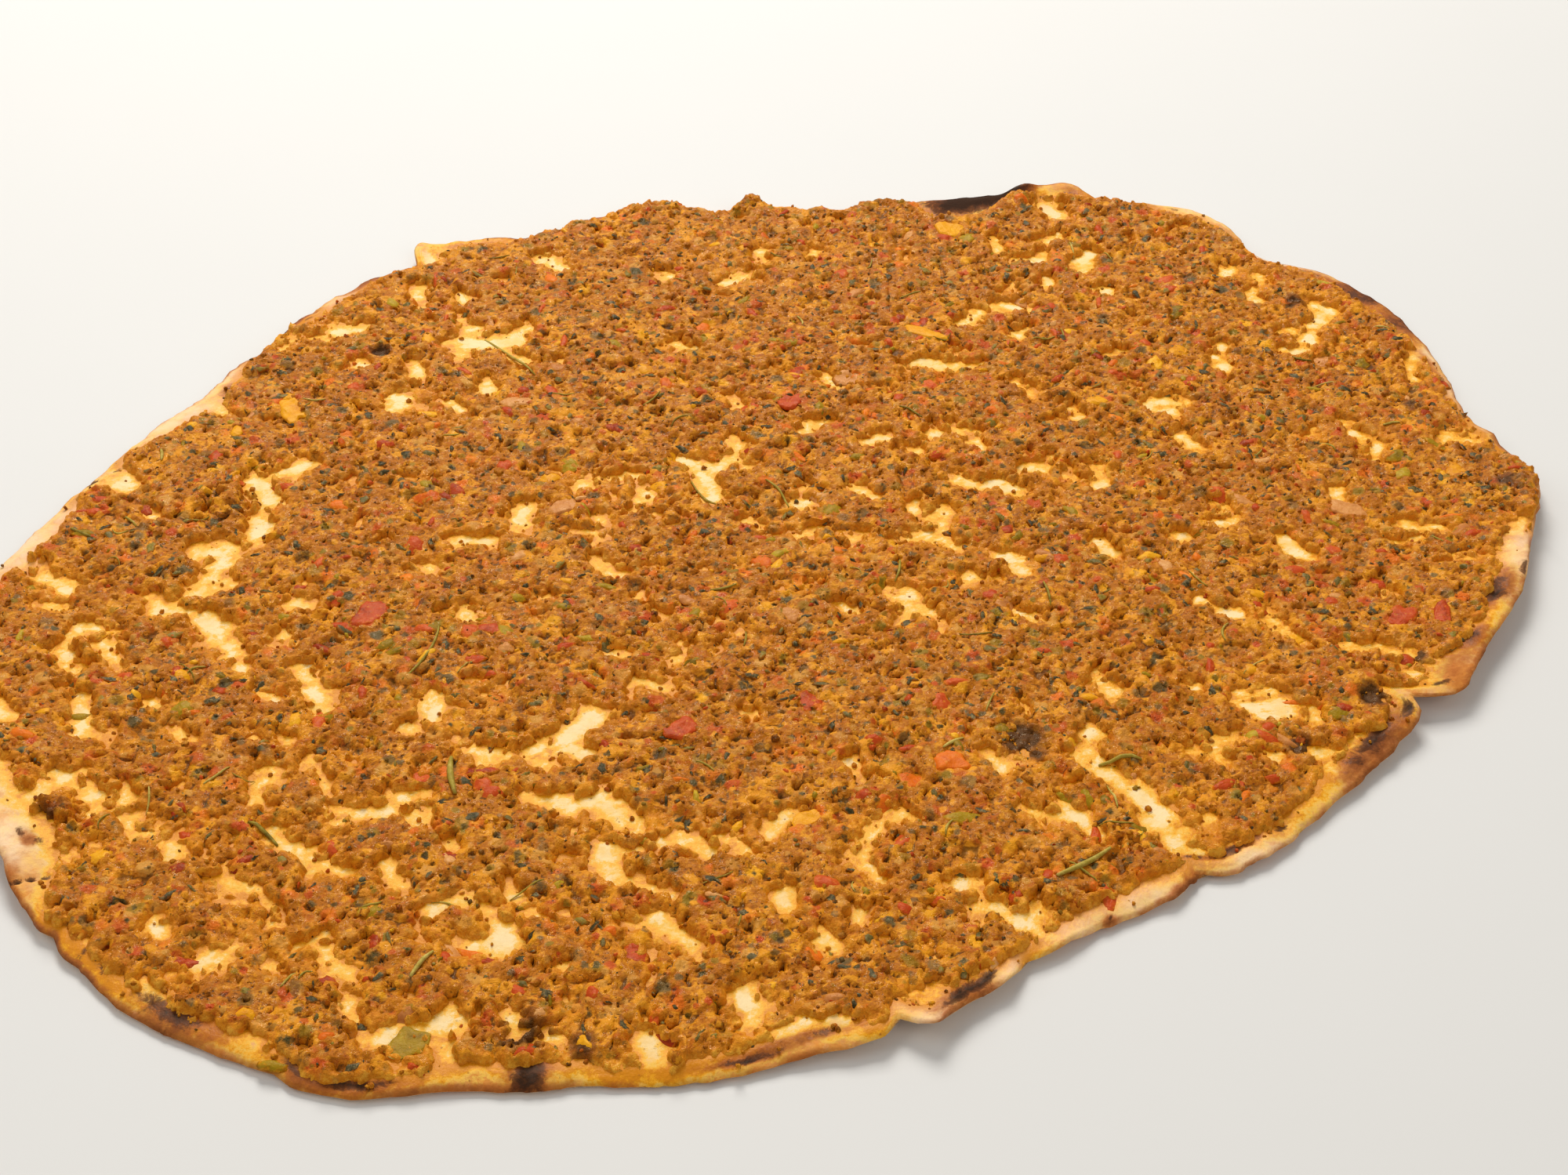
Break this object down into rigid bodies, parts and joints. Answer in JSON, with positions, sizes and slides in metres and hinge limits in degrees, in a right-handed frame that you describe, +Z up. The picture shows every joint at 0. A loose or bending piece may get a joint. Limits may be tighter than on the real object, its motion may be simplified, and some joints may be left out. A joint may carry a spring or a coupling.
{
  "type": "lahmacun",
  "caption": "Thin lobed oval flatbread with a browned, lightly curled rim, baked under a crumbly spiced minced-meat topping with bare patches and diced peppers.",
  "frame": {"origin": "middle of the underside's bounding rectangle, on the surface the bread rests on", "axes": "+Z up out of the topping; +X along the longer side of the oval; +Y across it, towards the edge that lies furthest from the viewer in the reference view"},
  "size_m": [0.3234, 0.2942, 0.0094],
  "materials": {
    "bread": "baked flatbread dough, pale and floury with oil stains, browned and charred at the rim",
    "mince": "crumbly cooked minced meat, lightly oily",
    "yellow_pepper": "moist cooked yellow pepper",
    "red_pepper": "moist cooked red pepper or tomato",
    "orange_pepper": "moist cooked orange pepper",
    "green_pepper": "moist cooked olive-green pepper",
    "onion": "soft translucent cooked onion"
  },
  "bodies": {
    "root": {"flatbread": "bread", "mince_topping": "mince", "pepper_yellow_1": "yellow_pepper", "pepper_yellow_2": "yellow_pepper", "pepper_yellow_3": "yellow_pepper", "pepper_yellow_4": "yellow_pepper", "pepper_red_1": "red_pepper", "pepper_red_2": "red_pepper", "pepper_red_3": "red_pepper", "pepper_red_4": "red_pepper", "pepper_orange_1": "orange_pepper", "tomato_piece_1": "red_pepper", "pepper_green_1": "green_pepper", "onion_piece_1": "onion", "onion_piece_2": "onion"}
  },
  "joints": []
}
